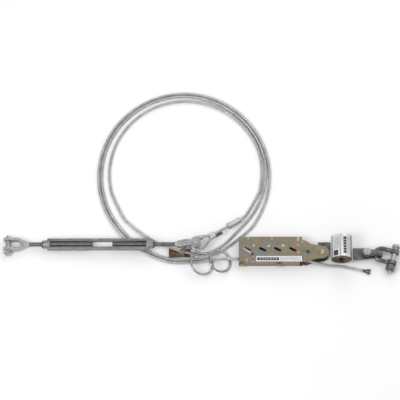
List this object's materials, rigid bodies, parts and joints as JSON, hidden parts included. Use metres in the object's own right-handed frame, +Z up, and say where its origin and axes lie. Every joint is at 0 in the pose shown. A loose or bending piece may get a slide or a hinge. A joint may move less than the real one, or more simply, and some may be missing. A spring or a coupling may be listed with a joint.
{
  "type": "wire rope puller",
  "caption": "Turnbuckle, coiled wire rope, self-gripping slotted rope grip, tear strip shock absorber and shackle, joined as one tensioning set.",
  "frame": {"origin": "on the table under the middle of the set, measured without the rope", "axes": "+X along the set from the turnbuckle to the shackle, +Y towards the coil, +Z up from the table"},
  "size_m": [1.3479, 0.682, 0.075],
  "materials": {
    "galvanized": "hot-dip galvanized, matt grey",
    "bright_zinc": "bright zinc plated",
    "rope": "galvanized wire rope",
    "yellow_zinc": "yellow chromated zinc with iridescent patches",
    "dark_steel": "oiled dark steel",
    "brown_steel": "brown chromated steel",
    "stainless": "polished stainless steel",
    "ferrule": "swaged aluminium",
    "label": null
  },
  "bodies": {
    "rope_and_grip": {"thimble": "galvanized", "rope_eye": "rope", "front_ferrule": "ferrule", "rear_ferrule": "ferrule", "rope_dead_end": "rope", "rope_splice": "rope", "rope_eye_run": "rope", "rope_coil": "rope", "rope_pass_a": "rope", "rope_pass_b": "rope", "rope_pass_c": "rope", "rope_in_grip": "rope", "rope_tail": "rope", "tail_clip": "dark_steel", "keeper_plate": "brown_steel", "keeper_strap": "brown_steel", "keeper_screws": "dark_steel", "lower_plate": "yellow_zinc", "upper_plate": "yellow_zinc", "back_spine": "yellow_zinc", "anvil_bar": "yellow_zinc", "anvil_bolts": "dark_steel", "housing_rivets": "yellow_zinc", "name_plate": "label", "lever_pin": "dark_steel"},
    "right_jaw": {"right_jaw": "galvanized", "right_jaw_bolt": "bright_zinc", "right_jaw_nut": "bright_zinc", "right_jaw_cotter": "bright_zinc"},
    "right_collar": {"right_collar": "dark_steel"},
    "turnbuckle_body": {"turnbuckle_body": "galvanized"},
    "left_collar": {"left_collar": "dark_steel"},
    "left_jaw": {"left_jaw": "galvanized", "left_jaw_bolt": "bright_zinc", "left_jaw_nut": "bright_zinc", "left_jaw_cotter": "bright_zinc"},
    "ring_left": {"ring_left": "stainless"},
    "ring_right": {"ring_right": "stainless"},
    "jaw_carriage": {"pull_plates": "yellow_zinc", "jaw_bar": "dark_steel", "slot_pins": "dark_steel", "neck_pin": "yellow_zinc"},
    "release_lever": {"release_lever": "bright_zinc", "lever_ring": "bright_zinc"},
    "absorber": {"tear_strip": "dark_steel", "strip_roll": "brown_steel", "absorber_sleeve": "label"},
    "link": {"eye_bolt": "bright_zinc", "eye_nut": "dark_steel", "link_plates": "dark_steel", "link_pin": "bright_zinc"},
    "shackle": {"shackle_bow": "dark_steel"},
    "shackle_bolt": {"shackle_bolt": "bright_zinc", "shackle_nut": "dark_steel", "shackle_cotter": "dark_steel"}
  },
  "joints": [
    {"name": "jaw_swing", "type": "hinge", "parent": "rope_and_grip", "child": "right_jaw", "pos_m": [-0.0177, -0.0025, 0.04], "axis": [-0.0372, 0.0005, 0.9993], "range_deg": [-5, 20]},
    {"name": "right_rod_travel", "type": "slide", "parent": "right_jaw", "child": "right_collar", "axis": [0.9992, -0.0131, 0.0372], "range_m": [-0.0925, 0.0324]},
    {"name": "turnbuckle_turn", "type": "hinge", "parent": "right_collar", "child": "turnbuckle_body", "pos_m": [-0.0177, -0.0025, 0.04], "axis": [0.9992, -0.0131, 0.0372], "range_deg": [-14400, 5040]},
    {"name": "left_collar_hold", "type": "hinge", "parent": "turnbuckle_body", "child": "left_collar", "pos_m": [-0.0177, -0.0025, 0.04], "axis": [0.9992, -0.0131, 0.0372], "range_deg": [-5040, 14400]},
    {"name": "left_rod_travel", "type": "slide", "parent": "left_collar", "child": "left_jaw", "axis": [0.9992, -0.0131, 0.0372], "range_m": [-0.0925, 0.0324]},
    {"name": "ring_left_turn", "type": "hinge", "parent": "rope_and_grip", "child": "ring_left", "pos_m": [0.0003, -0.065, 0.017], "axis": [0.342, 0, 0.9397], "continuous": true},
    {"name": "ring_right_turn", "type": "hinge", "parent": "rope_and_grip", "child": "ring_right", "pos_m": [0.0613, -0.057, 0.0213], "axis": [0.454, 0, 0.891], "continuous": true},
    {"name": "jaw_release", "type": "slide", "parent": "rope_and_grip", "child": "jaw_carriage", "axis": [-0.8829, 0.4695, 0], "range_m": [0, 0.012]},
    {"name": "lever_turn", "type": "hinge", "parent": "rope_and_grip", "child": "release_lever", "pos_m": [0.1723, -0.039, 0.042], "axis": [0, 0, 1], "range_deg": [0, 30]},
    {"name": "absorber_swing", "type": "hinge", "parent": "jaw_carriage", "child": "absorber", "pos_m": [0.4083, -0.029, 0.017], "axis": [0, 0, 1], "range_deg": [0, 30]},
    {"name": "link_swing", "type": "hinge", "parent": "absorber", "child": "link", "pos_m": [0.5593, -0.029, 0.017], "axis": [0, 0, 1], "range_deg": [0, 45]},
    {"name": "shackle_swing", "type": "hinge", "parent": "link", "child": "shackle", "pos_m": [0.6013, -0.029, 0.017], "axis": [0, 0, 1], "range_deg": [-10, 45]},
    {"name": "shackle_bolt_turn", "type": "hinge", "parent": "shackle", "child": "shackle_bolt", "pos_m": [0.64834, -0.0416, 0.017], "axis": [0.2588, 0.9659, 0], "continuous": true}
  ],
  "couplings": [
    {"joint": "right_rod_travel", "follows": "turnbuckle_turn", "m_per_rad": 0.0003675},
    {"joint": "left_collar_hold", "follows": "turnbuckle_turn", "ratio": -1},
    {"joint": "left_rod_travel", "follows": "turnbuckle_turn", "m_per_rad": 0.0003675},
    {"joint": "lever_turn", "follows": "jaw_release", "rad_per_m": 43.6}
  ]
}
